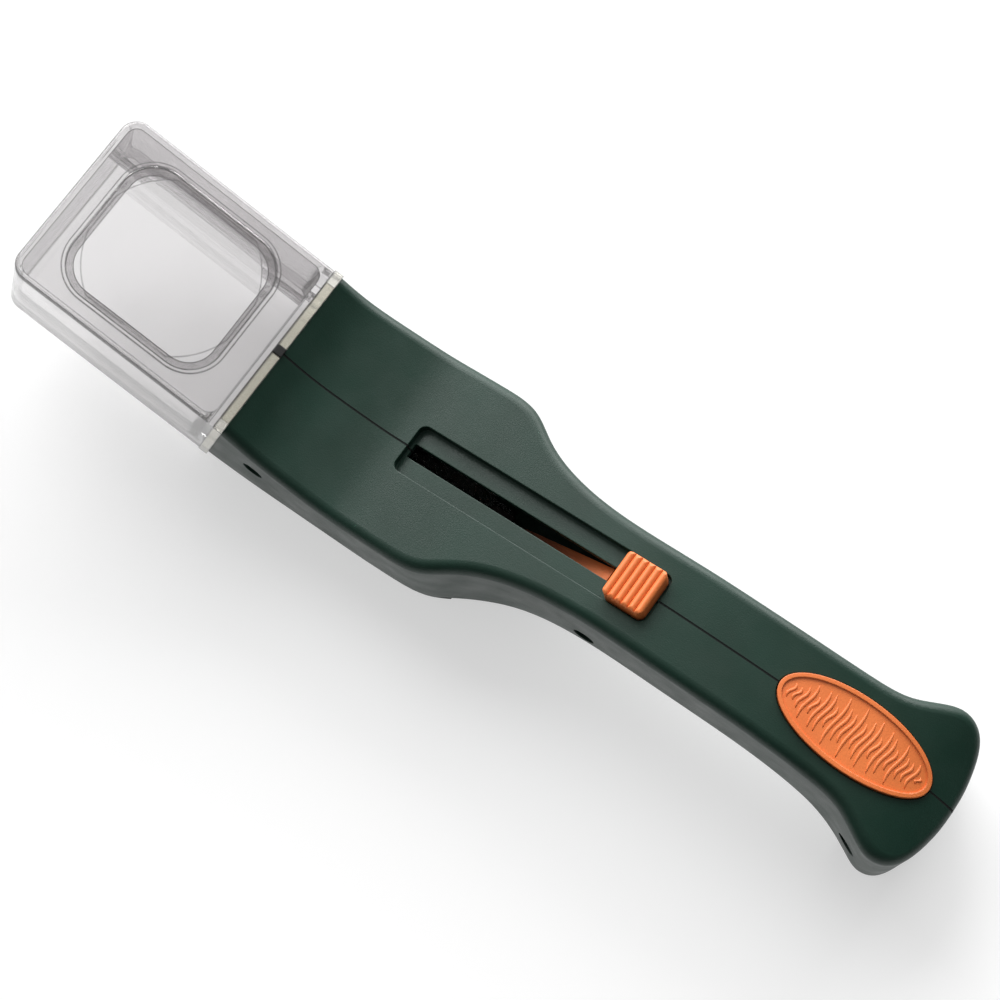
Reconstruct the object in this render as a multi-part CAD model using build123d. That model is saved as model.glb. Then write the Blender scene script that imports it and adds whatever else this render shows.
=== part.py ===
from build123d import *
from math import asin, cos, radians, sin, tan
import os

# Insect catcher with a clear catching chamber, a lens in its roof and a trap door worked by a thumb slide.
# The tool lies on a table at z = 0. X runs from the chamber to the tail, Y across, Z up.
# The origin is on the table, on the middle plane, at the middle of the foot under the head.
# Each piece is built with x from the housing's front edge, and write_parts moves it to the origin.

# Housing shells
grip_length = 97.2
tail_lean = 2.5
housing_height = 45.0
head_half_width = 31.4
housing_wall = 2.0
housing_top_fillet = 3.2
tail_floor = 3.4
lead = 22.0
overrun = 5.0

# Clear chamber, in its own tilted frame: u to the front, v across, n up from its roof
chamber_tilt = 17.5
chamber_rear_height = 40.6
chamber_length = 72.0
chamber_inset = 0.4
chamber_rim = 2.2
chamber_wall = 2.0
chamber_roof = 2.2
chamber_corner = 5.5
chamber_edge_fillet = 1.2

# Collar frame between the chamber and the housing
collar_length = 3.0
collar_wall = 3.6
collar_sill = 2.6
collar_proud = 0.35
collar_corner = 1.2
spigot_length = 4.0
spigot_wall = 1.6
spigot_gap = 0.1
catch_width = 2.8
catch_depth = 1.6
catch_rise = 0.5

# Lens and its stepped well in the chamber roof
lens_forward = 0.5
well_end_margin = 10.25
well_side_margin = 6.3
well_corner = 11.0
well_depth = 1.6
well_bead_width = 1.1
well_bead_rise = 0.5
well_ledge = 2.4
lens_end_gap = 0.35
lens_dome = 2.4
lens_plate = 1.0
lens_step = 0.4
lens_margin = 1.2
lens_gap = 0.1

# Trap door, a thin curved sheet that rides on one arc
door_radius = 290.0
door_floor_gap = 0.3
door_thickness = 1.2
door_wall_gap = 1.6
door_corner = 12.0
door_back_gap = 2.5
door_rear_overlap = 6.8
door_clearance = 0.35
door_side_gap = 0.4
door_bite = 0.2
tongue_length = 9.0
tongue_width = 16.0
tongue_corner = 4.0

# Grooves that carry the door's edges in the chamber and in the housing
rail_cover = 1.4
head_rail_cover = 3.7
head_rail_front = 6.0
head_rail_rear = 62.0

# Shares along the housing run to 1 over the head, to the thumb slot's rear, and on to 2 over the grip

# Housing seen from the side: its top line
neck_slope = 30.0
top_front_shares = [
    (0.0624, 0.8044),
    (0.1559, 0.7400),
    (0.2573, 0.7133),
]
slot_line_start = 46.0
slot_line_height = 33.1
slot_line_slope = 8.3
slot_line_rear_gap = 17.1
top_rear_shares = [
    (1.0285, 0.9889),
    (1.2240, 1.0000),
    (1.3989, 0.9956),
    (1.6354, 0.9422),
    (1.9030, 0.8133),
]
top_tail_end_share = (2.0676, 0.6222)

# Housing seen from the side: its underside
foot_front = 12.0
foot_rear = 54.0
underside_shares = [
    (0.5460, 0.0200),
    (0.6084, 0.0556),
    (0.6862, 0.1467),
    (0.7799, 0.2667),
    (0.9358, 0.3689),
    (1.2240, 0.4089),
    (1.4710, 0.3867),
    (1.6252, 0.2556),
    (1.7177, 0.0800),
]
tail_foot_length = 16.9

# Housing seen from above: its outline at the top and at the table
plan_top_height = 46.0
top_outline_shares = [
    (0.0000, 0.9299),
    (0.2340, 0.9841),
    (0.4366, 1.0000),
    (0.5265, 0.9554),
    (0.5927, 0.7834),
    (0.7019, 0.6019),
    (0.8421, 0.5191),
    (1.0696, 0.5159),
    (1.3782, 0.5223),
    (1.6150, 0.5478),
    (1.7281, 0.6051),
    (1.8105, 0.7452),
    (1.8721, 0.8153),
    (1.9266, 0.7643),
    (1.9637, 0.6242),
    (1.9904, 0.3376),
]
table_outline_shares = [
    (0.0000, 0.8917),
    (0.2340, 0.8854),
    (0.4366, 0.8726),
    (0.5265, 0.8153),
    (0.5927, 0.6752),
    (0.7019, 0.5032),
    (0.8421, 0.4331),
    (1.0696, 0.4268),
    (1.3782, 0.4331),
    (1.6150, 0.4522),
    (1.7281, 0.4968),
    (1.8105, 0.6115),
    (1.8619, 0.6815),
    (1.9081, 0.6497),
    (1.9401, 0.5350),
    (1.9668, 0.2930),
]

# Thumb slot: a recess with a gap along its middle, over a tray that keeps the carriage
recess_front = 42.9
recess_width = 15.8
recess_depth = 2.6
recess_corner = 2.4
gap_width = 4.6
gap_front_margin = 0.8
gap_rear_margin = 2.6
tray_wall = 1.8

# Thumb button and carriage
button_length = 13.2
button_width = 14.6
button_height = 6.0
button_corner = 2.0
button_ridges = 6
ridge_depth = 1.1
button_edge = 1.3
button_rear_gap = 0.9
button_lift = 0.3
stem_width = 3.8
stem_length = 7.0
stem_socket_depth = 2.4
carriage_length = 14.4
carriage_width = 11.6
carriage_thickness = 1.8
carriage_gap = 0.3
pocket_block_length = 10.6
pocket_block_width = 8.6
pocket_block_depth = 6.6
pocket_play = 1.4
pocket_side_play = 0.4
button_front_gap = 1.9

# Arm that joins the trap door to the carriage
arm_width = 5.0
arm_web_width = 2.4
arm_thickness = 2.2
arm_post_length = 3.0
arm_post_gap = 0.9
arm_knee_gap = 0.8
horn_front_gap = 2.2
horn_top_gap = 1.4
bend_shares = (0.350, 0.420)
arm_foot_length = 8.0
arm_foot_thickness = 1.4
arm_foot_inset = 4.0
stud_radius = 1.2
stud_spacing = 8.0
stud_gap = 0.05

# Badge let into the tail
badge_from_tail = 33.6
badge_length = 48.5
badge_width = 21.0
badge_depth = 1.6
badge_proud = 0.5
badge_gap = 0.35
badge_rim_width = 1.3
badge_rim_rise = 0.5

# Housing screws, driven from the left side
screw_place_shares = [
    (0.0585, 0.4333),
    (0.8891, 0.4667),
    (1.8000, 0.2778),
]
screw_reach = 8.0
screw_radius = 1.4
screw_hole_gap = 0.08
screw_head_radius = 2.7
screw_head_height = 2.0
screw_drive_radius = 1.1
screw_drive_depth = 1.0
screw_well_radius = 3.4
well_boss_radius = 4.8
post_boss_radius = 2.9
post_boss_reach = 6.6

tilt = radians(chamber_tilt)
slope = radians(slot_line_slope)
neck = radians(neck_slope)
chamber_front = collar_length + chamber_length
half_chamber = head_half_width * top_outline_shares[0][1] - chamber_inset
chamber_width = 2 * half_chamber
well_length = chamber_length - 2 * well_end_margin
well_width = chamber_width - 2 * well_side_margin
lens_from_collar = chamber_length / 2 + lens_forward
lens_radius = well_length / 2 - lens_end_gap
door_half_width = half_chamber - chamber_wall - door_wall_gap
chamber_rail_half_opening = door_half_width - rail_cover
head_rail_half_opening = door_half_width - head_rail_cover
door_half_thickness = door_thickness / 2
groove_half_height = door_half_thickness + door_clearance
chamber_frame = Plane(
    origin=(0, 0, chamber_rear_height),
    x_dir=(-cos(tilt), 0, sin(tilt)),
    z_dir=(sin(tilt), 0, cos(tilt)),
)
slot_frame = Plane(
    origin=(slot_line_start, 0, slot_line_height),
    x_dir=(cos(slope), 0, sin(slope)),
    z_dir=(-sin(slope), 0, cos(slope)),
)

# The arc's centre stands above the middle of the chamber, and the arc's lowest point just clears the floor
arc_along = (collar_length + chamber_front) / 2
arc_low = housing_wall + groove_half_height + door_floor_gap
arc_above = (arc_low + door_radius - chamber_rear_height - arc_along * sin(tilt)) / cos(tilt)
arc_x = arc_above * sin(tilt) - arc_along * cos(tilt)
arc_z = arc_low + door_radius
chamber_depth = door_radius - arc_above + chamber_rim


def chamber_angle(along):
    """Angle on the arc, toward the tail from straight down, over a place along the chamber."""
    return asin((arc_along - along) / door_radius) - tilt


# The door closes into the chamber's front wall, and the button travels with it
door_front_angle = chamber_angle(-door_back_gap)
door_travel = door_front_angle - chamber_angle(chamber_front - chamber_wall + door_bite)
door_rear_angle = chamber_angle(collar_length + chamber_wall) + door_travel + door_rear_overlap / door_radius
tongue_angle = door_rear_angle + tongue_length / door_radius
tray_floor = -recess_depth - tray_wall
carriage_top = tray_floor - carriage_gap
carriage_bottom = carriage_top - carriage_thickness
pocket_mouth = carriage_bottom - pocket_block_depth
slide_radius = slot_frame.to_local_coords(Vector(arc_x, 0, arc_z)).Z - (carriage_bottom + pocket_mouth) / 2
button_travel = door_travel * slide_radius

# Places along the slot's own frame, and lengths that follow from them
recess_start = (recess_front - slot_line_start) / cos(slope)
recess_length = button_rear_gap + button_length + button_travel + button_front_gap
recess_end = recess_start + recess_length
button_rest = recess_end - button_rear_gap - button_length / 2
slot_line_length = recess_end - slot_line_rear_gap
head_length = slot_line_start + recess_end * cos(slope)
housing_length = head_length + grip_length
table_length = housing_length - tail_lean
tail_foot_front = table_length - tail_foot_length
badge_center = housing_length - badge_from_tail
foot_middle = (foot_front + foot_rear) / 2


def scaled(shares, width):
    """Points from a table of shares along the housing and of a width or height."""
    return [
        (head_length * min(along, 1) + grip_length * max(along - 1, 0), across * width)
        for along, across in shares
    ]


screw_places = scaled(screw_place_shares, housing_height)


def side(x, z):
    """Point of the side view."""
    return Vector(x, 0, z)


def arc_point(radius, angle):
    """Side view point on the arc family of the door."""
    return side(arc_x + radius * sin(angle), arc_z - radius * cos(angle))


def face_of(lines):
    """Face inside a closed chain of lines."""
    return Face(Wire([line.edge() for line in lines]))


def drawn_across(face, start, end):
    """Solid between two places across, from a side view face."""
    return Pos(0, start, 0) * extrude(face, amount=end - start, dir=(0, 1, 0))


def arc_band(inner, outer, start, end):
    """Side view face between two radii and two angles of the door's arc family."""
    middle = (start + end) / 2
    near = [arc_point(inner, angle) for angle in (start, middle, end)]
    far = [arc_point(outer, angle) for angle in (start, middle, end)]
    return face_of(
        [
            ThreePointArc(near[0], near[1], near[2]),
            Line(near[2], far[2]),
            ThreePointArc(far[2], far[1], far[0]),
            Line(far[0], near[0]),
        ]
    )


def box_between(frame, low, high):
    """Box between two corners given in a frame."""
    size = [b - a for a, b in zip(low, high)]
    middle = [(a + b) / 2 for a, b in zip(low, high)]
    return frame * (Pos(*middle) * Box(*size))


def cylinder_across(x, z, radius, start, end):
    """Cylinder across the tool between two places."""
    return Pos(x, (start + end) / 2, z) * Rot(90, 0, 0) * Cylinder(radius, end - start)


# Housing outer form


def plan_outline(shares, tip, inset, height):
    """Half outline from above, drawn in by an inset."""
    points = scaled(shares, head_half_width)
    nose = Vector(-lead, 0, height)
    side_points = [Vector(-lead, points[0][1] - inset, height)]
    side_points += [Vector(x, y - inset, height) for x, y in points]
    tail = Vector(tip - inset, 0, height)
    kept = [p for p in side_points if p.X < tip - 2 * inset]
    edge = Spline(*kept, tail, tangents=[(1, 0, 0), (0, -1, 0)])
    return face_of([edge, Line(tail, nose), Line(nose, kept[0])])


def side_outline(drop, tail_drop, rise):
    """Side view of the housing, with its top lowered and its underside raised."""
    slot_dir = (cos(slope), 0, sin(slope))
    start = side(0, chamber_rear_height - drop)
    nose_top = side(-lead, start.Z + lead * tan(neck))
    front = [side(x, z - drop) for x, z in scaled(top_front_shares, housing_height)]
    rear = scaled(top_rear_shares + [top_tail_end_share], housing_height)
    slot_front = side(slot_line_start, slot_line_height - drop)
    slot_rear = slot_front + Vector(slot_dir) * slot_line_length
    grip = [side(x, z - drop) for x, z in rear[:2]]
    tail = [side(x, z - tail_drop) for x, z in rear[2:]]
    tail_low = side(rear[-1][0], rise)
    foot = side(tail_foot_front, rise)
    underside = scaled(underside_shares, housing_height)
    under = [side(x, z + rise) for x, z in reversed(underside)]
    heel = side(foot_rear, rise)
    toe = side(foot_front, rise)
    rim_drop = chamber_rear_height - chamber_depth / cos(tilt)
    nose_low = side(-lead, rim_drop + lead * tan(tilt) + rise)
    return face_of(
        [
            Line(nose_top, start),
            Spline(start, *front, slot_front, tangents=[(cos(neck), 0, -sin(neck)), slot_dir]),
            Line(slot_front, slot_rear),
            Spline(slot_rear, *grip, *tail, tangents=[slot_dir, tail[-1] - tail[-2]]),
            Line(tail[-1], tail_low),
            Line(tail_low, foot),
            Spline(foot, *under, heel, tangents=[(-1, 0, 0), (-1, 0, 0)]),
            Line(heel, toe),
            Spline(toe, nose_low, tangents=[(-1, 0, 0), (-cos(tilt), 0, sin(tilt))]),
            Line(nose_low, nose_top),
        ]
    )


def housing_block(inset, drop, tail_drop, rise):
    """Right half of the housing's form, whole or drawn in all round."""
    low = plan_outline(table_outline_shares, table_length, inset, -overrun)
    high = plan_outline(top_outline_shares, housing_length, inset, plan_top_height)
    sides = loft([low, high], ruled=True)
    return sides & drawn_across(side_outline(drop, tail_drop, rise), -overrun, head_half_width + overrun)


def front_cut():
    """Everything in front of the plane where the collar stands."""
    reach = chamber_depth + chamber_length
    return box_between(chamber_frame, (0, -reach, -2 * reach), (reach, reach, reach))


def is_top_edge(edge):
    """True for the long edges between the top and the sides."""
    points = [edge @ share for share in (0, 0.25, 0.5, 0.75, 1)]
    off_middle = max(p.Y for p in points) > housing_wall
    long = max(p.X for p in points) - min(p.X for p in points) > housing_wall
    return off_middle and long and points[2].Z > chamber_rear_height / 2


def housing_form():
    """Right half of the outer form, with its top edge rounded."""
    block = housing_block(0, 0, 0, 0)
    rounded = fillet(block.edges().filter_by(is_top_edge), housing_top_fillet)
    return rounded - front_cut()


def badge_prism(grow, low, high):
    """Upright oval over the badge's place."""
    oval = Ellipse(badge_length / 2 + grow, badge_width / 2 + grow)
    return Pos(badge_center, 0, low) * extrude(oval, amount=high - low)


def top_slab(drop):
    """Everything under the housing's top line, lowered or raised."""
    half = badge_width
    return drawn_across(side_outline(drop, drop, -overrun), -half, half)


# Shells


def head_rails(side_limit):
    """Ledges over and under the door's edges, along its arc inside the head."""
    front = asin((head_rail_front - arc_x) / door_radius) - door_back_gap / door_radius
    rear = asin((head_rail_rear - arc_x) / door_radius)
    upper = arc_band(door_radius - groove_half_height - rail_cover, door_radius - groove_half_height, front, rear)
    lower = arc_band(door_radius + groove_half_height, door_radius + groove_half_height + 2 * rail_cover, front, rear)
    return drawn_across(upper, head_rail_half_opening, side_limit) + drawn_across(
        lower, head_rail_half_opening, side_limit
    )


def door_groove(half_width, start, end):
    """Room that the door's edges need along the arc."""
    band = arc_band(door_radius - groove_half_height, door_radius + groove_half_height, start, end)
    return drawn_across(band, -half_width, half_width)


def slot_tray():
    """Walls and floor round the thumb recess, right half."""
    low = (recess_start - tray_wall, 0, tray_floor)
    high = (recess_end + tray_wall, recess_width / 2 + tray_wall, overrun)
    return box_between(slot_frame, low, high)


def slot_cut():
    """Recess for the thumb and the gap through its floor."""
    recess = RectangleRounded(recess_length, recess_width, recess_corner)
    middle = (recess_start + recess_end) / 2
    pocket = slot_frame * (Pos(middle, 0, -recess_depth) * extrude(recess, amount=recess_depth + overrun))
    gap_low = (recess_start + gap_front_margin, -gap_width / 2, tray_floor - overrun)
    gap_high = (recess_end - gap_rear_margin, gap_width / 2, overrun)
    return pocket + box_between(slot_frame, gap_low, gap_high)


def hollow_half(form):
    """Thin right half shell with rails, tray and screw bosses inside."""
    wide = 2 * door_half_width
    shell = form - housing_block(housing_wall, housing_wall, tail_floor, housing_wall)
    inside = head_rails(wide) + slot_tray()
    for x, z in screw_places:
        inside += cylinder_across(x, z, post_boss_radius, 0, wide)
        inside += cylinder_across(x, z, well_boss_radius, post_boss_reach, wide)
    shell += inside & form
    shell -= door_room()
    shell -= slot_cut()
    shell -= badge_prism(badge_gap, 0, 2 * plan_top_height) - top_slab(badge_depth)
    return shell


def right_shell(half):
    """Right shell, with blind holes for the screws."""
    for x, z in screw_places:
        half = half - cylinder_across(x, z, screw_radius + screw_hole_gap, 0, screw_reach + overrun / 2)
    return half


def left_shell(half):
    """Left shell, with a deep well for each screw head."""
    far = 2 * door_half_width
    mirrored = mirror(half, about=Plane.XZ)
    for x, z in screw_places:
        mirrored -= cylinder_across(x, z, screw_radius + screw_hole_gap, -screw_reach, 0)
        mirrored -= cylinder_across(x, z, screw_well_radius, -far, -screw_reach)
    return mirrored


def shell_screws():
    """Three pan head screws that hold the shells together."""
    screws = []
    for x, z in screw_places:
        shaft = cylinder_across(x, z, screw_radius, -screw_reach, screw_reach)
        head = cylinder_across(x, z, screw_head_radius, -screw_reach - screw_head_height, -screw_reach)
        drive_top = -screw_reach - screw_head_height + screw_drive_depth
        drive = cylinder_across(x, z, screw_drive_radius, drive_top - screw_head_height, drive_top)
        screws.append(shaft + head - drive)
    return Compound(children=[screw.solid() for screw in screws])


# Chamber, lens and collar


def chamber_block(inset, low, high, corner, start, end):
    """Rounded block in the chamber's frame."""
    sketch = RectangleRounded(end - start, chamber_width - 2 * inset, corner)
    return chamber_frame * (Pos((start + end) / 2, 0, low) * extrude(sketch, amount=high - low))


def chamber_rails(side_limit):
    """Blocks along both lower edges that carry the door."""
    front = chamber_angle(chamber_front - chamber_wall / 2)
    rear = chamber_angle(collar_length + chamber_wall / 2)
    band = arc_band(door_radius - groove_half_height - rail_cover, door_radius + chamber_depth, front, rear)
    right = drawn_across(band, chamber_rail_half_opening, side_limit)
    return right + mirror(right, about=Plane.XZ)


def well_prism(grow, low, high):
    """Rounded rectangle over the lens, in the chamber's frame."""
    sketch = RectangleRounded(well_length + 2 * grow, well_width + 2 * grow, well_corner + grow)
    place = Pos(collar_length + lens_from_collar, 0, low)
    return chamber_frame * (place * extrude(sketch, amount=high - low))


def chamber():
    """Clear box, open below, with a lens well in its roof and a curved groove for the door."""
    outer = chamber_block(0, -chamber_depth, 0, chamber_corner, collar_length - chamber_corner, chamber_front)
    edge_height = chamber_edge_fillet / 2
    roof_edges = [e for e in outer.edges() if chamber_frame.to_local_coords(e.center()).Z > -edge_height]
    outer = fillet(roof_edges, chamber_edge_fillet)
    behind = (-chamber_length, -chamber_width, -2 * chamber_depth)
    outer -= box_between(chamber_frame, behind, (collar_length, chamber_width, chamber_depth))
    inner_corner = chamber_corner - chamber_wall
    inner_start = collar_length + chamber_wall
    inner_end = chamber_front - chamber_wall
    inner = chamber_block(
        chamber_wall, -chamber_depth - overrun, -chamber_roof, inner_corner, inner_start, inner_end
    )
    box = outer - inner
    box += chamber_rails(half_chamber - chamber_wall / 2) & outer
    box += well_prism(well_bead_width, -well_depth, well_bead_rise)
    box -= well_prism(0, -well_depth, overrun)
    box -= well_prism(-well_ledge, -chamber_depth / 2, overrun)
    closed_front = door_front_angle - door_travel
    box -= door_groove(door_half_width + door_side_gap, closed_front - door_clearance / door_radius, tongue_angle)
    slit_top = chamber_frame.to_local_coords(arc_point(door_radius - groove_half_height, chamber_angle(collar_length)))
    slit_low = (0, -door_half_width - door_side_gap, -2 * chamber_depth)
    slit_high = (inner_start, door_half_width + door_side_gap, slit_top.Z)
    return box - (box_between(chamber_frame, slit_low, slit_high) - chamber_rails(half_chamber))


def magnifier_lens():
    """Lens plate with a round dome that the well's straight sides cut."""
    plate_top = lens_plate - well_depth
    plate = well_prism(-lens_gap, -well_depth, plate_top)
    sphere_radius = (lens_radius**2 + lens_dome**2) / (2 * lens_dome)
    middle = collar_length + lens_from_collar
    dome_base = plate_top + lens_step
    ball = Pos(middle, 0, dome_base + lens_dome - sphere_radius) * Sphere(sphere_radius)
    disc = Pos(middle, 0, plate_top) * extrude(Circle(lens_radius), amount=lens_step + lens_dome)
    dome = chamber_frame * (ball & disc)
    return plate + (dome & well_prism(-lens_margin, plate_top, 2 * lens_dome))


def collar_outline(grow, depth, start, end):
    """Block of the collar's outer form between two places along the chamber."""
    sketch_low = (start, -half_chamber - grow, -depth)
    sketch_high = (end, half_chamber + grow, grow)
    return box_between(chamber_frame, sketch_low, sketch_high)


def chamber_collar():
    """Frame between the chamber and the shells, with a spigot that the shells clamp."""
    frame = collar_outline(collar_proud, chamber_depth, 0, collar_length)
    long_edges = frame.edges().filter_by(Axis((0, 0, 0), (-cos(tilt), 0, sin(tilt))))
    top_edges = [e for e in long_edges if chamber_frame.to_local_coords(e.center()).Z > -collar_wall]
    frame = fillet(top_edges, collar_corner)
    plug_inset = housing_wall + spigot_gap
    plug = form_slice(plug_inset)
    hollow = form_slice(plug_inset + spigot_wall)
    window = collar_outline(-collar_wall, chamber_depth - collar_sill, -overrun, chamber_length)
    ring = (plug - hollow) + (frame - window)
    ring -= door_groove(door_half_width + door_side_gap, -door_travel - door_travel, tongue_angle)
    return ring - box_between(chamber_frame, *catch_corners(0))


def form_slice(inset):
    """Slice of the housing's form just behind the collar, drawn in all round."""
    half = housing_block(inset, inset, inset, inset)
    reach = chamber_length + chamber_depth
    slab = box_between(chamber_frame, (-spigot_length, -reach, -reach), (0, reach, reach))
    half = half & slab
    return half + mirror(half, about=Plane.XZ)


def catch_corners(rise):
    """Corners of the notch at the collar's top middle, in the chamber's frame."""
    low = (0, -catch_width / 2, collar_proud - catch_depth)
    high = (collar_length, catch_width / 2, collar_proud + rise)
    return low, high


def collar_catch():
    """Small dark key in the collar's notch."""
    return box_between(chamber_frame, *catch_corners(catch_rise))


# Trap door, arm, carriage and button


def door_plan(half_width, start, end, corner):
    """Upright prism with rounded rear corners, between two places along X."""
    low = (start, -half_width, -overrun)
    block = box_between(Plane.XY, low, (end, half_width, plan_top_height))
    upright = [e for e in block.edges().filter_by(Axis.Z) if e.center().X > (start + end) / 2]
    return fillet(upright, corner)


def door_band(start, end):
    """Curved sheet of the door's thickness."""
    band = arc_band(door_radius - door_half_thickness, door_radius + door_half_thickness, start, end)
    return drawn_across(band, -door_half_width, door_half_width)


def door_plans(grow, front_x):
    """Upright prisms round the sheet and its tongue, grown all round."""
    rear_x = arc_point(door_radius, door_rear_angle).X
    tongue_x = arc_point(door_radius, tongue_angle).X
    sheet = door_plan(door_half_width + grow, front_x, rear_x + grow, door_corner + grow)
    tongue = door_plan(tongue_width / 2 + grow, rear_x - door_corner, tongue_x + grow, tongue_corner + grow)
    return sheet, tongue


def door_room():
    """Room in the shells for the sheet and its tongue along the arc."""
    front = -door_travel
    rear = tongue_angle + door_clearance / door_radius
    sheet, tongue = door_plans(door_side_gap, arc_point(door_radius, front).X)
    band = door_groove(door_half_width + door_side_gap, front, rear)
    return (band & sheet) + (band & tongue)


def trap_door():
    """Curved sheet, with a tongue at its rear for the arm's studs."""
    sheet, tongue = door_plans(0, arc_point(door_radius, door_front_angle).X - overrun)
    door = (door_band(door_front_angle, tongue_angle) & sheet) + (door_band(door_front_angle, tongue_angle) & tongue)
    for place in stud_places():
        door -= place * Cylinder(stud_radius + stud_gap, overrun)
    return door


def stud_places():
    """Places of the two studs on the tongue, square to the sheet."""
    angle = tongue_angle - arm_foot_length / 2 / door_radius
    point = arc_point(door_radius, angle)
    frame = Plane(origin=point, x_dir=(cos(angle), 0, sin(angle)), z_dir=(-sin(angle), 0, cos(angle)))
    return [frame * Pos(0, y, 0) for y in (-stud_spacing / 2, stud_spacing / 2)]


def slot_point(along, height):
    """Point on the middle plane, given in the slot's frame."""
    return slot_frame.from_local_coords(Vector(along, 0, height))


def in_slot(*places):
    """Closed side view face through places given in the slot's frame or in the side view."""
    points = [place if isinstance(place, Vector) else slot_point(*place) for place in places]
    return make_face(Polyline(*points, close=True))


def arm_solid(face, width):
    """Part of the arm, centred across."""
    return drawn_across(face, -width / 2, width / 2)


def door_arm():
    """Foot on the tongue, a ramp up under the slot and a post in the carriage's pocket."""
    rise = door_half_thickness + arm_foot_thickness
    foot_start = tongue_angle - arm_foot_length / door_radius
    foot_band = arc_band(door_radius - rise, door_radius - door_half_thickness, foot_start, tongue_angle)
    toe = arc_point(door_radius - rise, foot_start)
    toe_low = arc_point(door_radius - door_half_thickness, foot_start)
    heel = arc_point(door_radius - door_half_thickness, tongue_angle)
    horn = button_rest - carriage_length / 2 - horn_front_gap
    horn_top = tray_floor - horn_top_gap
    toe_in_slot = slot_frame.to_local_coords(toe)
    bend = toe_in_slot.X + bend_shares[0] * (horn - toe_in_slot.X)
    bend_top = toe_in_slot.Z + bend_shares[1] * (horn_top - toe_in_slot.Z)
    knee_top = pocket_mouth - arm_knee_gap
    knee_low = knee_top - arm_thickness
    post_front = button_rest - arm_post_length / 2
    post_rear = button_rest + arm_post_length / 2
    post_top = carriage_bottom - arm_post_gap
    web = in_slot(toe_low, toe, (bend, bend_top), (horn, horn_top), (horn, knee_low), heel)
    ramp = in_slot(
        toe,
        (bend, bend_top),
        (horn, horn_top),
        (horn, horn_top - arm_thickness),
        (bend, bend_top - arm_thickness),
        toe_low,
    )
    link = in_slot((horn - arm_thickness, knee_top), (post_rear, knee_top), (post_rear, knee_low), (horn, knee_low))
    post = in_slot((post_front, post_top), (post_rear, post_top), (post_rear, knee_low), (post_front, knee_low))
    arm = arm_solid(foot_band, tongue_width - arm_foot_inset) + arm_solid(web, arm_web_width)
    arm += arm_solid(ramp, arm_width) + arm_solid(link, arm_width) + arm_solid(post, arm_width)
    for place in stud_places():
        middle = rise / 2 - door_half_thickness / 2
        arm += place * Pos(0, 0, middle) * Cylinder(stud_radius, rise + door_half_thickness)
    return arm


def carriage():
    """Plate under the tray with a stem up through the gap and a pocket below for the arm's post."""
    low = (button_rest - carriage_length / 2, -carriage_width / 2, carriage_bottom)
    high = (button_rest + carriage_length / 2, carriage_width / 2, carriage_top)
    plate = box_between(slot_frame, low, high)
    stem_low = (button_rest - stem_length / 2, -stem_width / 2, carriage_bottom)
    stem_high = (button_rest + stem_length / 2, stem_width / 2, -recess_depth + button_lift + stem_socket_depth)
    stem = box_between(slot_frame, stem_low, stem_high)
    block_low = (button_rest - pocket_block_length / 2, -pocket_block_width / 2, pocket_mouth)
    block_high = (button_rest + pocket_block_length / 2, pocket_block_width / 2, carriage_bottom)
    block = box_between(slot_frame, block_low, block_high)
    half_room = arm_post_length / 2 + pocket_play
    half_side = arm_width / 2 + pocket_side_play
    room_low = (button_rest - half_room, -half_side, pocket_mouth - overrun)
    room_high = (button_rest + half_room, half_side, carriage_bottom)
    return plate + stem + block - box_between(slot_frame, room_low, room_high)


def thumb_button():
    """Button with rounded cross ridges, open below over the carriage's stem."""
    base = -recess_depth + button_lift
    top = base + button_height
    valley = top - ridge_depth
    front = button_rest - button_length / 2
    rear = button_rest + button_length / 2
    pitch = button_length / button_ridges
    outline = [Line(slot_point(rear, base), slot_point(rear, valley))]
    for index in range(button_ridges):
        start = rear - index * pitch
        middle = slot_point(start - pitch / 2, top)
        outline.append(ThreePointArc(slot_point(start, valley), middle, slot_point(start - pitch, valley)))
    outline.append(Line(slot_point(front, valley), slot_point(front, base)))
    outline.append(Line(slot_point(front, base), slot_point(rear, base)))
    ridged = drawn_across(face_of(outline), -button_width / 2, button_width / 2)
    sketch = RectangleRounded(button_length, button_width, button_corner)
    plan = slot_frame * (Pos(button_rest, 0, base) * extrude(sketch, amount=button_height))
    block = Pos(button_rest, 0, (base + top) / 2) * Box(button_length + overrun, button_width, button_height)
    upper = [edge for edge in block.edges().filter_by(Axis.X) if edge.center().Z > valley]
    rounded = slot_frame * fillet(upper, button_edge)
    low = (button_rest - stem_length / 2, -stem_width / 2, base - overrun)
    high = (button_rest + stem_length / 2, stem_width / 2, base + stem_socket_depth)
    return (ridged & plan & rounded) - box_between(slot_frame, low, high)


def tail_badge():
    """Oval plate that follows the tail's top line, with a raised rim."""
    prism = badge_prism(0, 0, 2 * plan_top_height)
    inner = badge_prism(-badge_rim_width, 0, 2 * plan_top_height)
    plate = prism & (top_slab(-badge_proud) - top_slab(badge_depth))
    rim = (prism - inner) & (top_slab(-badge_proud - badge_rim_rise) - top_slab(0))
    return plate + rim


def at_origin(piece):
    """The piece's solids, moved from the housing's front edge to the part's origin."""
    solids = [solid.translate((-foot_middle, 0, 0), transform=True) for solid in piece.solids()]
    return solids[0] if len(solids) == 1 else Compound(children=solids)


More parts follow.
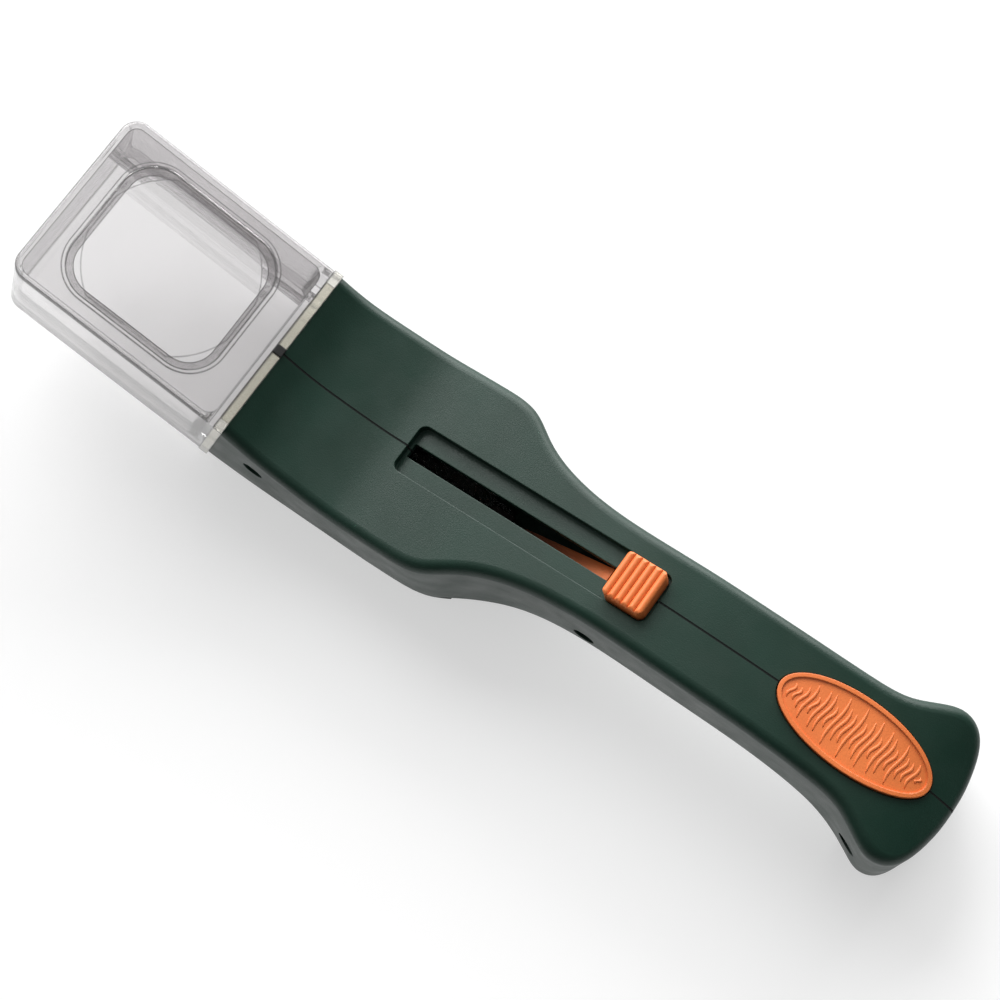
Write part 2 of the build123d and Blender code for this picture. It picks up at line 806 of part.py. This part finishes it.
def write_parts():
    """Write one STEP file for each piece."""
    os.makedirs("parts", exist_ok=True)
    half = hollow_half(housing_form())
    pieces = {
        "right_shell": right_shell(half),
        "left_shell": left_shell(half),
        "shell_screws": shell_screws(),
        "chamber": chamber(),
        "magnifier_lens": magnifier_lens(),
        "chamber_collar": chamber_collar(),
        "collar_catch": collar_catch(),
        "tail_badge": tail_badge(),
        "trap_door": trap_door(),
        "door_arm": door_arm(),
        "carriage": carriage(),
        "thumb_button": thumb_button(),
    }
    for name, piece in pieces.items():
        export_step(at_origin(piece), f"parts/{name}.step")


write_parts()
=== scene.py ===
"""Looks of the insect catcher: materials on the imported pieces, a relief on the badge, and the stage."""

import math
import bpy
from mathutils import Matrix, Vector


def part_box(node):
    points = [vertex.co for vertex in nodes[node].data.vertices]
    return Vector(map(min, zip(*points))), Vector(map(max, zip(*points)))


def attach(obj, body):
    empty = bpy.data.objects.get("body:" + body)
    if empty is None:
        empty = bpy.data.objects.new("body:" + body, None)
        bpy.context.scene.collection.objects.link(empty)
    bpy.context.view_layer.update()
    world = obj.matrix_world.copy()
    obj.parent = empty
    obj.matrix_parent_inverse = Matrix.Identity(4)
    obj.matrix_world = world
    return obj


bl_info = {
    "name": "Insect Catcher",
    "version": (1, 0, 0),
    "blender": (4, 5, 0),
    "location": "3D View > Sidebar > Insect Catcher",
    "description": "Dresses the packed insect catcher and sets its stage",
    "category": "Object",
}

import bmesh
import bpy
from bpy.props import FloatProperty, FloatVectorProperty, IntProperty, PointerProperty
from mathutils import Matrix, Vector
from mathutils.bvhtree import BVHTree

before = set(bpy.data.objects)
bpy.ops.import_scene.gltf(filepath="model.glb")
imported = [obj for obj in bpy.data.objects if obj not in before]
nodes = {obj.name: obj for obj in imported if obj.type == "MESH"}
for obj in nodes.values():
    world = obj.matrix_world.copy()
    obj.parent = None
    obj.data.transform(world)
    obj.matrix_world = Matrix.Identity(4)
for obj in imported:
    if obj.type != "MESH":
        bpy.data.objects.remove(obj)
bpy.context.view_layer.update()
badge_low, badge_high = (Vector(corner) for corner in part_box("tail_badge"))

MM = 0.001

# Camera fitted to the photograph: its three axes and its place, in metres
CAMERA_RIGHT = (0.81571, 0.57804, -0.02202)
CAMERA_UP = (-0.54601, 0.78196, 0.30068)
CAMERA_BACK = (0.19102, -0.23324, 0.95347)
CAMERA_PLACE = (0.16969, -0.15556, 0.67573)
SENSOR_WIDTH_MM = 36

# Lights: where they stand, what they are aimed at, and where the surroundings are brightest
KEY_PLACE = (-0.68, 0.50, 0.60)
RIM_PLACE = (-0.113, 0.85, 0.26)
RIM_SIZE = 0.8
LIGHT_TARGET = (0.037, 0, 0.03)
BRIGHT_SIDE = (-0.6, 0.36, 0.71)

# Bevel normals: rays for each sample, the radius of moulded edges and the reach of the painted dark lines at
# clear edges
BEVEL_SAMPLES = 6
EDGE_ROUNDING = 0.45 * MM
EDGE_LINE_REACH = 0.6 * MM

# Fixed colours
CATCH_BLACK = (0.02, 0.02, 0.02)
CATCH_SHADE = (0.012, 0.012, 0.012)
ARM_SHADOW = (0.02, 0.012, 0.008)
ZINC_DARK = (0.30, 0.30, 0.31)
ZINC_LIGHT = (0.46, 0.46, 0.47)
FLOOR_DARK = (0.50, 0.50, 0.50)
FLOOR_LIGHT = (0.52, 0.52, 0.52)
WHITE = (1, 1, 1, 1)

# Heights between which the arm passes from shadow into the light of the slot
ARM_SHADOW_TOP = 0.016
ARM_LIGHT_TOP = 0.036

# Relief of the badge: shares of its half length and half width, and how the ribs vary
RELIEF_LENGTH_SHARE = 0.88
RELIEF_WIDTH_SHARE = 0.82
RIB_WIDTH_SHARE = 0.3
RIB_SHORTEST_SHARE = 0.44
RIB_TURN = 2.3
RIB_WINDING = 0.6 * MM


# Node graph helpers


def new_graph(name):
    """Empty material with a Principled shader, and shortcuts to add nodes and links."""
    material = bpy.data.materials.new(name)
    material.use_nodes = True
    tree = material.node_tree
    tree.nodes.clear()
    output = tree.nodes.new("ShaderNodeOutputMaterial")
    shader = tree.nodes.new("ShaderNodeBsdfPrincipled")
    tree.links.new(shader.outputs["BSDF"], output.inputs["Surface"])
    return material, tree, shader


def object_axes(tree):
    """The object's own coordinates, as a node with X, Y and Z."""
    coordinates = tree.nodes.new("ShaderNodeTexCoord")
    axes = tree.nodes.new("ShaderNodeSeparateXYZ")
    tree.links.new(coordinates.outputs["Object"], axes.inputs["Vector"])
    return axes


def object_noise(tree, scale, detail, stretch=(1, 1, 1)):
    """Noise on the object's own coordinates, with scale in cycles per metre."""
    coordinates = tree.nodes.new("ShaderNodeTexCoord")
    mapping = tree.nodes.new("ShaderNodeMapping")
    mapping.inputs["Scale"].default_value = stretch
    noise = tree.nodes.new("ShaderNodeTexNoise")
    noise.inputs["Scale"].default_value = scale
    noise.inputs["Detail"].default_value = detail
    tree.links.new(coordinates.outputs["Object"], mapping.inputs["Vector"])
    tree.links.new(mapping.outputs["Vector"], noise.inputs["Vector"])
    return noise.outputs["Fac"]


def remap(tree, value, low, high, out_low, out_high):
    """Map Range from one span to another."""
    node = tree.nodes.new("ShaderNodeMapRange")
    node.inputs["From Min"].default_value = low
    node.inputs["From Max"].default_value = high
    node.inputs["To Min"].default_value = out_low
    node.inputs["To Max"].default_value = out_high
    tree.links.new(value, node.inputs["Value"])
    return node.outputs["Result"]


def mix_colours(tree, factor, first, second):
    """Colour mix of two colours or sockets."""
    node = tree.nodes.new("ShaderNodeMix")
    node.data_type = "RGBA"
    tree.links.new(factor, node.inputs["Factor"])
    for socket, value in ((node.inputs[6], first), (node.inputs[7], second)):
        if hasattr(value, "is_linked"):
            tree.links.new(value, socket)
        else:
            socket.default_value = (*value, 1)
    return node.outputs[2]


def combine(tree, operation, first, second):
    """Math node on two sockets or numbers."""
    node = tree.nodes.new("ShaderNodeMath")
    node.operation = operation
    for socket, value in zip(node.inputs, (first, second)):
        if hasattr(value, "is_linked"):
            tree.links.new(value, socket)
        else:
            socket.default_value = value
    return node.outputs[0]


def bevel_normal(tree, radius):
    """Normal that is rounded near the edges of the piece."""
    soft = tree.nodes.new("ShaderNodeBevel")
    soft.samples = BEVEL_SAMPLES
    soft.inputs["Radius"].default_value = radius
    return soft.outputs["Normal"]


def bump(tree, shader, height, distance, strength=1.0, rounding=0.0):
    """Bump into the shader's normal, over edges that are rounded by a radius."""
    node = tree.nodes.new("ShaderNodeBump")
    node.inputs["Distance"].default_value = distance
    node.inputs["Strength"].default_value = strength
    tree.links.new(height, node.inputs["Height"])
    if rounding:
        tree.links.new(bevel_normal(tree, rounding), node.inputs["Normal"])
    tree.links.new(node.outputs["Normal"], shader.inputs["Normal"])


def near_edges(tree, reach):
    """Share that rises to 1 along the sharp edges of the piece, within a reach of them."""
    geometry = tree.nodes.new("ShaderNodeNewGeometry")
    product = tree.nodes.new("ShaderNodeVectorMath")
    product.operation = "DOT_PRODUCT"
    tree.links.new(bevel_normal(tree, reach), product.inputs[0])
    tree.links.new(geometry.outputs["True Normal"], product.inputs[1])
    return remap(tree, product.outputs["Value"], 0.92, 0.995, 1, 0)


def moulded_plastic(name, colour, shade, roughness, grain_scale, grain_depth):
    """Moulded plastic: two close tones in soft patches, a spark-eroded grain and uneven gloss."""
    material, tree, shader = new_graph(name)
    patches = object_noise(tree, 45, 4)
    grain = object_noise(tree, grain_scale, 2)
    tone = mix_colours(tree, remap(tree, patches, 0.3, 0.7, 0, 1), shade, colour)
    tree.links.new(tone, shader.inputs["Base Color"])
    smear = remap(tree, object_noise(tree, 120, 5), 0.3, 0.7, roughness - 0.05, roughness + 0.06)
    tree.links.new(smear, shader.inputs["Roughness"])
    bump(tree, shader, grain, grain_depth, rounding=EDGE_ROUNDING)
    return material, tree, shader, tone


def clear_plastic(name, tint, edge, roughness, waviness, milk, body):
    """Clear plastic: painted shade, dark where seen edge on and along its edges, with flow waves, fine
    scratches and a milky share.
    """
    material, tree, shader = new_graph(name)
    haze = object_noise(tree, 60, 4)
    cloudy = mix_colours(tree, remap(tree, haze, 0.35, 0.75, 0, 1), tint, [c * 0.96 for c in tint])
    # Painted shade: the base colour turns near black where the plastic is seen edge on and along its edges,
    # in place of the dark lines that refraction draws there
    slant = tree.nodes.new("ShaderNodeLayerWeight")
    slant.inputs["Blend"].default_value = 0.5
    steep = remap(tree, slant.outputs["Facing"], 0.93, 1.0, 0, 0.75)
    lines = combine(tree, "MAXIMUM", steep, near_edges(tree, EDGE_LINE_REACH))
    tree.links.new(mix_colours(tree, lines, cloudy, edge), shader.inputs["Base Color"])
    shader.inputs["Transmission Weight"].default_value = 1.0 - milk
    shader.inputs["IOR"].default_value = 1.5
    shader.inputs["Alpha"].default_value = body
    scratches = object_noise(tree, 900, 1, (0.02, 1, 1))
    smear = remap(tree, scratches, 0.6, 0.8, roughness, roughness + 0.04)
    tree.links.new(smear, shader.inputs["Roughness"])
    waves = object_noise(tree, 70, 1)
    bump(tree, shader, waves, 0.0006, waviness)
    return material


def dress(node_name, material):
    """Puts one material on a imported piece."""
    slots = nodes[node_name].data.materials
    slots.clear()
    slots.append(material)


def mesh_piece(name, bm, material, body):
    """Object from a bmesh, with its material and body."""
    bmesh.ops.recalc_face_normals(bm, faces=bm.faces)
    mesh = bpy.data.meshes.new(name)
    bm.to_mesh(mesh)
    bm.free()
    for polygon in mesh.polygons:
        polygon.use_smooth = True
    mesh.materials.append(material)
    piece = bpy.data.objects.new(name, mesh)
    bpy.context.scene.collection.objects.link(piece)
    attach(piece, body)
    return piece


# Settings


class HousingSettings(bpy.types.PropertyGroup):
    green: FloatVectorProperty(
        name="Green", description="Colour of the shells", subtype="COLOR", size=3,
        default=(0.007, 0.034, 0.022),
    )
    green_shade: FloatVectorProperty(
        name="Green shade", description="Second tone of the shells", subtype="COLOR", size=3,
        default=(0.006, 0.027, 0.017),
    )
    roughness: FloatProperty(
        name="Roughness", description="Roughness of the shells", default=0.42, min=0, max=1, subtype="FACTOR"
    )
    grain_depth: FloatProperty(
        name="Grain depth", description="Depth of the moulded grain", default=0.00004, unit="LENGTH",
        precision=6,
    )
    seam_width: FloatProperty(
        name="Seam width", description="Half width of the line where the shells meet", default=0.0004,
        unit="LENGTH", precision=5,
    )


class ChamberSettings(bpy.types.PropertyGroup):
    tint: FloatVectorProperty(
        name="Tint", description="Tint of the clear box", subtype="COLOR", size=3, default=(0.68, 0.665, 0.67)
    )
    # Painted shade: near-black colour of the clear pieces where they are seen edge on and along their edges
    edge_painted_shade: FloatVectorProperty(
        name="Edge painted shade", description="Painted shade of the clear pieces where they are seen edge on and along their edges", subtype="COLOR",
        size=3, default=(0.03, 0.029, 0.028),
    )
    lens_tint: FloatVectorProperty(
        name="Lens tint", description="Tint of the lens", subtype="COLOR", size=3, default=(0.66, 0.645, 0.65)
    )
    collar_tint: FloatVectorProperty(
        name="Collar tint", description="Tint of the collar", subtype="COLOR", size=3,
        default=(0.76, 0.74, 0.66),
    )
    roughness: FloatProperty(
        name="Roughness", description="Roughness of the clear plastic", default=0.03, min=0, max=1,
        subtype="FACTOR",
    )


class OrangeSettings(bpy.types.PropertyGroup):
    orange: FloatVectorProperty(
        name="Orange", description="Colour of the badge and the button", subtype="COLOR", size=3,
        default=(0.90, 0.235, 0.06),
    )
    orange_shade: FloatVectorProperty(
        name="Orange shade", description="Second tone of the orange plastic", subtype="COLOR", size=3,
        default=(0.83, 0.20, 0.05),
    )
    rib_count: IntProperty(name="Ribs", description="Number of ribs in the badge's relief", default=24, min=3)
    rib_height: FloatProperty(
        name="Rib height", description="Height of the relief over the badge", default=0.00028, unit="LENGTH",
        precision=5,
    )


class StageSettings(bpy.types.PropertyGroup):
    floor_size: FloatProperty(
        name="Floor size", description="Side of the square floor", default=60.0, unit="LENGTH"
    )
    floor_glow: FloatProperty(
        name="Floor glow", description="White that the floor adds in the picture, without lighting the tool",
        default=0.53, min=0,
    )
    surround: FloatProperty(
        name="Surround", description="Brightest strength of the white surroundings", default=0.7, min=0
    )
    surround_low: FloatProperty(
        name="Surround low", description="Lowest strength of the white surroundings", default=0.13, min=0
    )
    key_power: FloatProperty(name="Key power", description="Strength of the key light", default=2.6, min=0)
    key_spread: FloatProperty(
        name="Key spread", description="Angle that the key light fills", default=math.radians(45),
        subtype="ANGLE",
    )
    rim_power: FloatProperty(name="Rim power", description="Power of the rim light", default=11.0, min=0)
    focal_length: FloatProperty(
        name="Focal length", description="Focal length of the camera in millimetres", default=86.4, min=1
    )


# Pieces


class CATCHER_OT_shells(bpy.types.Operator):
    """Green plastic with a moulded grain, and the fine line where the halves meet"""

    bl_idname = "catcher.shells"
    bl_label = "Dress the shells"

    def execute(self, context):
        settings = context.scene.catcher_housing
        material, tree, shader, tone = moulded_plastic(
            "shell_green", settings.green, settings.green_shade, settings.roughness,
            grain_scale=2600, grain_depth=settings.grain_depth,
        )
        away = combine(tree, "ABSOLUTE", object_axes(tree).outputs["Y"], 0.0)
        seam = remap(tree, away, settings.seam_width * 0.5, settings.seam_width, 0, 1)
        dark = [c * 0.05 for c in settings.green]
        tree.links.new(mix_colours(tree, seam, dark, tone), shader.inputs["Base Color"])
        shader.inputs["Specular IOR Level"].default_value = 0.36
        gloss = shader.inputs["Roughness"].links[0].from_socket
        shine = combine(tree, "MULTIPLY", seam, combine(tree, "SUBTRACT", 1.0, gloss))
        tree.links.new(combine(tree, "SUBTRACT", 1.0, shine), shader.inputs["Roughness"])
        for name in ("left_shell", "right_shell"):
            dress(name, material)
        return {"FINISHED"}


class CATCHER_OT_chamber(bpy.types.Operator):
    """Clear box with faint waves and scratches"""

    bl_idname = "catcher.chamber"
    bl_label = "Dress the chamber"

    def execute(self, context):
        settings = context.scene.catcher_chamber
        material = clear_plastic(
            "chamber_clear", settings.tint, settings.edge_painted_shade, settings.roughness,
            waviness=0.15, milk=0.03, body=0.95,
        )
        dress("chamber", material)
        return {"FINISHED"}


class CATCHER_OT_lens(bpy.types.Operator):
    """Polished lens"""

    bl_idname = "catcher.lens"
    bl_label = "Dress the lens"

    def execute(self, context):
        settings = context.scene.catcher_chamber
        material = clear_plastic(
            "lens_clear", settings.lens_tint, settings.edge_painted_shade, settings.roughness / 3,
            waviness=0.05, milk=0.02, body=0.7,
        )
        dress("magnifier_lens", material)
        return {"FINISHED"}


class CATCHER_OT_collar(bpy.types.Operator):
    """Yellowish translucent collar and its black catch"""

    bl_idname = "catcher.collar"
    bl_label = "Dress the collar"

    def execute(self, context):
        settings = context.scene.catcher_chamber
        collar = clear_plastic(
            "collar_clear", settings.collar_tint, settings.edge_painted_shade,
            roughness=0.06, waviness=0.3, milk=0.05, body=0.8,
        )
        dress("chamber_collar", collar)
        black = moulded_plastic(
            "catch_black", CATCH_BLACK, CATCH_SHADE, roughness=0.45, grain_scale=2600, grain_depth=0.04 * MM
        )
        dress("collar_catch", black[0])
        return {"FINISHED"}


class CATCHER_OT_badge(bpy.types.Operator):
    """Orange badge with a generic ribbed relief"""

    bl_idname = "catcher.badge"
    bl_label = "Dress the badge"

    def execute(self, context):
        settings = context.scene.catcher_orange
        material = moulded_plastic(
            "badge_orange", settings.orange, settings.orange_shade,
            roughness=0.38, grain_scale=1800, grain_depth=0.05 * MM,
        )[0]
        dress("tail_badge", material)
        mesh_piece("badge_relief", self.ribs(settings), material, "housing")
        return {"FINISHED"}

    def ribs(self, settings):
        """Low rounded ribs across the badge that follow its curve."""
        surface = nodes["tail_badge"].data
        tree = BVHTree.FromPolygons(
            [v.co for v in surface.vertices], [tuple(p.vertices) for p in surface.polygons]
        )
        middle = (badge_low + badge_high) / 2
        half_length = (badge_high.x - badge_low.x) / 2 * RELIEF_LENGTH_SHARE
        half_width = (badge_high.y - badge_low.y) / 2 * RELIEF_WIDTH_SHARE
        bm = bmesh.new()
        pitch = 2 * half_length / settings.rib_count
        for index in range(settings.rib_count):
            centre = -half_length + (index + 0.5) * pitch
            reach = half_width * math.sqrt(max(0.0, 1 - (centre / half_length) ** 2))
            sway = (1 + math.cos(RIB_TURN * index)) / 2
            reach *= RIB_SHORTEST_SHARE + (1 - RIB_SHORTEST_SHARE) * sway
            self.rib(bm, tree, middle, centre, reach, pitch, settings.rib_height)
        return bm

    def rib(self, bm, tree, middle, centre, reach, pitch, height):
        """One rib: a long ball, half sunk, that lies on the badge and winds a little."""
        ball = bmesh.ops.create_uvsphere(bm, u_segments=16, v_segments=12, radius=1)["verts"]
        bmesh.ops.scale(bm, verts=ball, vec=(pitch * RIB_WIDTH_SHARE, reach, height))
        for vert in ball:
            vert.co.x += middle.x + centre + RIB_WINDING * math.sin(3 * vert.co.y / max(reach, MM))
            vert.co.y += middle.y
            hit = tree.ray_cast(Vector((vert.co.x, vert.co.y, 1)), Vector((0, 0, -1)))[0]
            vert.co.z += hit.z if hit else badge_high.z


class CATCHER_OT_slide(bpy.types.Operator):
    """Orange button, carriage and arm"""

    bl_idname = "catcher.slide"
    bl_label = "Dress the slide"

    def execute(self, context):
        settings = context.scene.catcher_orange
        material = moulded_plastic(
            "slide_orange", settings.orange, settings.orange_shade,
            roughness=0.45, grain_scale=2200, grain_depth=0.04 * MM,
        )[0]
        for name in ("thumb_button", "carriage"):
            dress(name, material)
        arm, tree, shader, tone = moulded_plastic(
            "arm_orange", settings.orange, settings.orange_shade,
            roughness=0.5, grain_scale=2200, grain_depth=0.04 * MM,
        )
        lit = remap(tree, object_axes(tree).outputs["Z"], ARM_SHADOW_TOP, ARM_LIGHT_TOP, 0, 1)
        tree.links.new(mix_colours(tree, lit, ARM_SHADOW, tone), shader.inputs["Base Color"])
        dress("door_arm", arm)
        return {"FINISHED"}


class CATCHER_OT_door(bpy.types.Operator):
    """Clear sheet of the trap door"""

    bl_idname = "catcher.door"
    bl_label = "Dress the trap door"

    def execute(self, context):
        settings = context.scene.catcher_chamber
        material = clear_plastic(
            "door_clear", settings.tint, settings.edge_painted_shade, roughness=0.12, waviness=0.2, milk=0.15, body=0.6
        )
        dress("trap_door", material)
        return {"FINISHED"}


class CATCHER_OT_screws(bpy.types.Operator):
    """Zinc plated screws with turned rings"""

    bl_idname = "catcher.screws"
    bl_label = "Dress the screws"

    def execute(self, context):
        material, tree, shader = new_graph("screw_zinc")
        rings = object_noise(tree, 1500, 3, (1, 0.1, 1))
        tone = mix_colours(tree, remap(tree, rings, 0.3, 0.7, 0, 1), ZINC_DARK, ZINC_LIGHT)
        tree.links.new(tone, shader.inputs["Base Color"])
        shader.inputs["Metallic"].default_value = 1.0
        tree.links.new(remap(tree, rings, 0.3, 0.7, 0.3, 0.45), shader.inputs["Roughness"])
        bump(tree, shader, rings, 0.03 * MM)
        dress("shell_screws", material)
        return {"FINISHED"}


class CATCHER_OT_stage(bpy.types.Operator):
    """White floor and surroundings, soft lights, and the camera at the photograph's angle"""

    bl_idname = "catcher.stage"
    bl_label = "Set the stage"

    def execute(self, context):
        settings = context.scene.catcher_stage
        self.floor(settings)
        self.surround(context, settings)
        key = bpy.data.lights.new("key", "SUN")
        key.energy = settings.key_power
        key.angle = settings.key_spread
        self.aim(key, KEY_PLACE)
        rim = bpy.data.lights.new("rim", "AREA")
        rim.energy = settings.rim_power
        rim.size = RIM_SIZE
        self.aim(rim, RIM_PLACE)
        self.camera(context, settings)
        return {"FINISHED"}

    def floor(self, settings):
        """Plain white floor with a faint unevenness, which glows in the picture but lights nothing."""
        material, tree, shader = new_graph("floor_white")
        tone = mix_colours(tree, object_noise(tree, 3, 2), FLOOR_DARK, FLOOR_LIGHT)
        tree.links.new(tone, shader.inputs["Base Color"])
        shader.inputs["Roughness"].default_value = 0.8
        shader.inputs["Specular IOR Level"].default_value = 0.1
        shader.inputs["Emission Color"].default_value = WHITE
        rays = tree.nodes.new("ShaderNodeLightPath").outputs
        mirrored = combine(tree, "MAXIMUM", rays["Is Glossy Ray"], rays["Is Transmission Ray"])
        seen = combine(tree, "MAXIMUM", rays["Is Camera Ray"], mirrored)
        glow = combine(tree, "MULTIPLY", seen, settings.floor_glow)
        tree.links.new(glow, shader.inputs["Emission Strength"])
        bm = bmesh.new()
        bmesh.ops.create_grid(bm, x_segments=4, y_segments=4, size=settings.floor_size / 2)
        mesh = bpy.data.meshes.new("floor")
        bm.to_mesh(mesh)
        bm.free()
        mesh.materials.append(material)
        floor = bpy.data.objects.new("floor", mesh)
        bpy.context.scene.collection.objects.link(floor)

    def surround(self, context, settings):
        """White surroundings, brighter high over the chamber's end and dim round the horizon."""
        world = bpy.data.worlds.new("surround")
        world.use_nodes = True
        tree = world.node_tree
        background = tree.nodes["Background"]
        background.inputs["Color"].default_value = WHITE
        coordinates = tree.nodes.new("ShaderNodeTexCoord")
        toward = tree.nodes.new("ShaderNodeVectorMath")
        toward.operation = "DOT_PRODUCT"
        toward.inputs[1].default_value = BRIGHT_SIDE
        tree.links.new(coordinates.outputs["Generated"], toward.inputs[0])
        glow = remap(tree, toward.outputs["Value"], 0.3, 1.0, settings.surround_low, settings.surround)
        tree.links.new(glow, background.inputs["Strength"])
        context.scene.world = world

    def aim(self, data, place):
        """Light in its place, aimed at the tool."""
        light = bpy.data.objects.new(data.name, data)
        bpy.context.scene.collection.objects.link(light)
        light.location = place
        light.rotation_mode = "QUATERNION"
        light.rotation_quaternion = (Vector(LIGHT_TARGET) - light.location).to_track_quat("-Z", "Y")

    def camera(self, context, settings):
        """Camera of the photograph."""
        data = bpy.data.cameras.new("camera")
        data.sensor_width = SENSOR_WIDTH_MM
        data.lens = settings.focal_length
        camera = bpy.data.objects.new("camera", data)
        context.scene.collection.objects.link(camera)
        turn = Matrix((CAMERA_RIGHT, CAMERA_UP, CAMERA_BACK)).transposed().to_4x4()
        camera.matrix_world = Matrix.Translation(CAMERA_PLACE) @ turn
        context.scene.camera = camera
        context.scene.view_settings.view_transform = "Standard"


class CATCHER_PT_panel(bpy.types.Panel):
    """Settings and pieces of the insect catcher"""

    bl_idname = "CATCHER_PT_panel"
    bl_label = "Insect Catcher"
    bl_space_type = "VIEW_3D"
    bl_region_type = "UI"
    bl_category = "Insect Catcher"

    def draw(self, context):
        for group in (name for name, kind in SETTINGS):
            settings = getattr(context.scene, group)
            box = self.layout.box()
            for name in settings.__annotations__:
                box.prop(settings, name)
        for operator in OPERATORS:
            self.layout.operator(operator.bl_idname)


SETTINGS = (
    ("catcher_housing", HousingSettings),
    ("catcher_chamber", ChamberSettings),
    ("catcher_orange", OrangeSettings),
    ("catcher_stage", StageSettings),
)
OPERATORS = (
    CATCHER_OT_shells,
    CATCHER_OT_chamber,
    CATCHER_OT_lens,
    CATCHER_OT_collar,
    CATCHER_OT_badge,
    CATCHER_OT_slide,
    CATCHER_OT_door,
    CATCHER_OT_screws,
    CATCHER_OT_stage,
)


def register():
    """Registers the settings, the operators and the panel."""
    for name, kind in SETTINGS:
        bpy.utils.register_class(kind)
        setattr(bpy.types.Scene, name, PointerProperty(type=kind))
    for operator in OPERATORS:
        bpy.utils.register_class(operator)
    bpy.utils.register_class(CATCHER_PT_panel)


def unregister():
    """Takes them out again."""
    bpy.utils.unregister_class(CATCHER_PT_panel)
    for operator in reversed(OPERATORS):
        bpy.utils.unregister_class(operator)
    for name, kind in reversed(SETTINGS):
        delattr(bpy.types.Scene, name)
        bpy.utils.unregister_class(kind)


def main():
    """Makes the pieces and the stage in order."""
    register()
    bpy.ops.catcher.stage()
    bpy.ops.catcher.shells()
    bpy.ops.catcher.chamber()
    bpy.ops.catcher.lens()
    bpy.ops.catcher.collar()
    bpy.ops.catcher.badge()
    bpy.ops.catcher.slide()
    bpy.ops.catcher.door()
    bpy.ops.catcher.screws()


if __name__ == "__main__":
    main()
